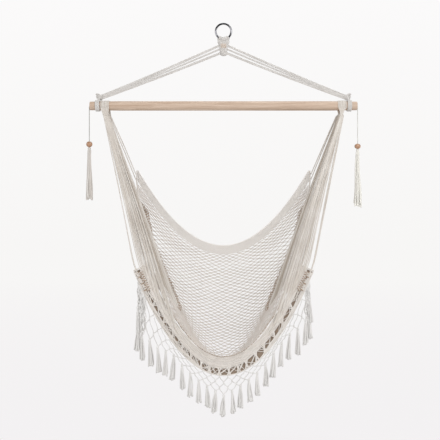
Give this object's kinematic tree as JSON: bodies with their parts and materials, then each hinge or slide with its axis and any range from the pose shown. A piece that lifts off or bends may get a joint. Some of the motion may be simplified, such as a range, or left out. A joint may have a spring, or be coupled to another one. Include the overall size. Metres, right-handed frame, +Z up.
{
  "type": "hammock chair",
  "caption": "Hanging hammock chair: a cotton net seat with a knotted fringe, hung by cords from a wooden spreader bar under a steel ring, with beaded tassels on the bar ends.",
  "frame": {"origin": "inner top of the steel ring, where the hook that holds the chair touches it", "axes": "+Z up, +X along the spreader bar to its right end as seen from the front, -Y the way a person in the chair faces"},
  "size_m": [1.0321, 0.4788, 1.4258],
  "materials": {
    "ring_steel": "polished, mirror bright",
    "rope": "soft laid cotton rope, matt",
    "bar_wood": "pale wood, fine straight grain, satin",
    "seat_cord": "soft twisted cotton, matt",
    "net_cotton": "open looped cotton net, matt",
    "band_cotton": "close-woven cotton cord, matt",
    "fringe_cotton": "knotted thin cotton cord, matt",
    "bead_wood": "turned wood, smooth, satin",
    "pendant_cotton": "loosely twisted cotton strands, matt"
  },
  "bodies": {
    "ring": {"hanging_ring": "ring_steel"},
    "hitch": {"ring_hitch": "rope"},
    "hanger": {"neck_gather": "rope", "spreader_bar": "bar_wood", "suspension_hitch_left": "rope", "suspension_knot_left": "rope", "suspension_cord_left_1": "rope", "suspension_cord_left_2": "rope", "suspension_cord_left_3": "rope", "suspension_hitch_right": "rope", "suspension_knot_right": "rope", "suspension_cord_right_1": "rope", "suspension_cord_right_2": "rope", "suspension_cord_right_3": "rope"},
    "seat": {"seat_net": "net_cotton", "back_edge_band": "band_cotton", "front_edge_band": "band_cotton", "front_fringe": "fringe_cotton", "clew_loop_left": "rope", "clew_gather_left": "rope", "selvedge_left": "net_cotton", "seat_cord_left_01": "seat_cord", "seat_cord_left_02": "seat_cord", "seat_cord_left_03": "seat_cord", "seat_cord_left_04": "seat_cord", "seat_cord_left_05": "seat_cord", "seat_cord_left_06": "seat_cord", "seat_cord_left_07": "seat_cord", "seat_cord_left_08": "seat_cord", "seat_cord_left_09": "seat_cord", "seat_cord_left_10": "seat_cord", "seat_cord_left_11": "seat_cord", "seat_cord_left_12": "seat_cord", "clew_loop_right": "rope", "clew_gather_right": "rope", "selvedge_right": "net_cotton", "seat_cord_right_01": "seat_cord", "seat_cord_right_02": "seat_cord", "seat_cord_right_03": "seat_cord", "seat_cord_right_04": "seat_cord", "seat_cord_right_05": "seat_cord", "seat_cord_right_06": "seat_cord", "seat_cord_right_07": "seat_cord", "seat_cord_right_08": "seat_cord", "seat_cord_right_09": "seat_cord", "seat_cord_right_10": "seat_cord", "seat_cord_right_11": "seat_cord", "seat_cord_right_12": "seat_cord"},
    "pendant_left": {"pendant_cord_left": "pendant_cotton", "pendant_knot_left": "pendant_cotton", "pendant_tassel_left": "pendant_cotton"},
    "bead_left": {"pendant_bead_left": "bead_wood"},
    "pendant_right": {"pendant_cord_right": "pendant_cotton", "pendant_knot_right": "pendant_cotton", "pendant_tassel_right": "pendant_cotton"},
    "bead_right": {"pendant_bead_right": "bead_wood"}
  },
  "joints": [
    {"name": "hitch_turn", "type": "hinge", "parent": "ring", "child": "hitch", "pos_m": [0, 0, -0.0255], "axis": [0, 1, 0], "range_deg": [-25, 25]},
    {"name": "hanger_swing", "type": "hinge", "parent": "hitch", "child": "hanger", "pos_m": [0, 0, -0.0545], "axis": [1, 0, 0], "range_deg": [-35, 35]},
    {"name": "seat_swing", "type": "hinge", "parent": "hanger", "child": "seat", "pos_m": [0, 0, -0.304], "axis": [1, 0, 0], "range_deg": [-20, 20]},
    {"name": "pendant_swing_left", "type": "hinge", "parent": "hanger", "child": "pendant_left", "pos_m": [-0.5, 0, -0.304], "axis": [1, 0, 0], "range_deg": [-60, 60]},
    {"name": "bead_slide_left", "type": "slide", "parent": "pendant_left", "child": "bead_left", "axis": [0, 0, 1], "range_m": [0, 0.08]},
    {"name": "pendant_swing_right", "type": "hinge", "parent": "hanger", "child": "pendant_right", "pos_m": [0.5, 0, -0.304], "axis": [1, 0, 0], "range_deg": [-60, 60]},
    {"name": "bead_slide_right", "type": "slide", "parent": "pendant_right", "child": "bead_right", "axis": [0, 0, 1], "range_m": [0, 0.08]}
  ]
}
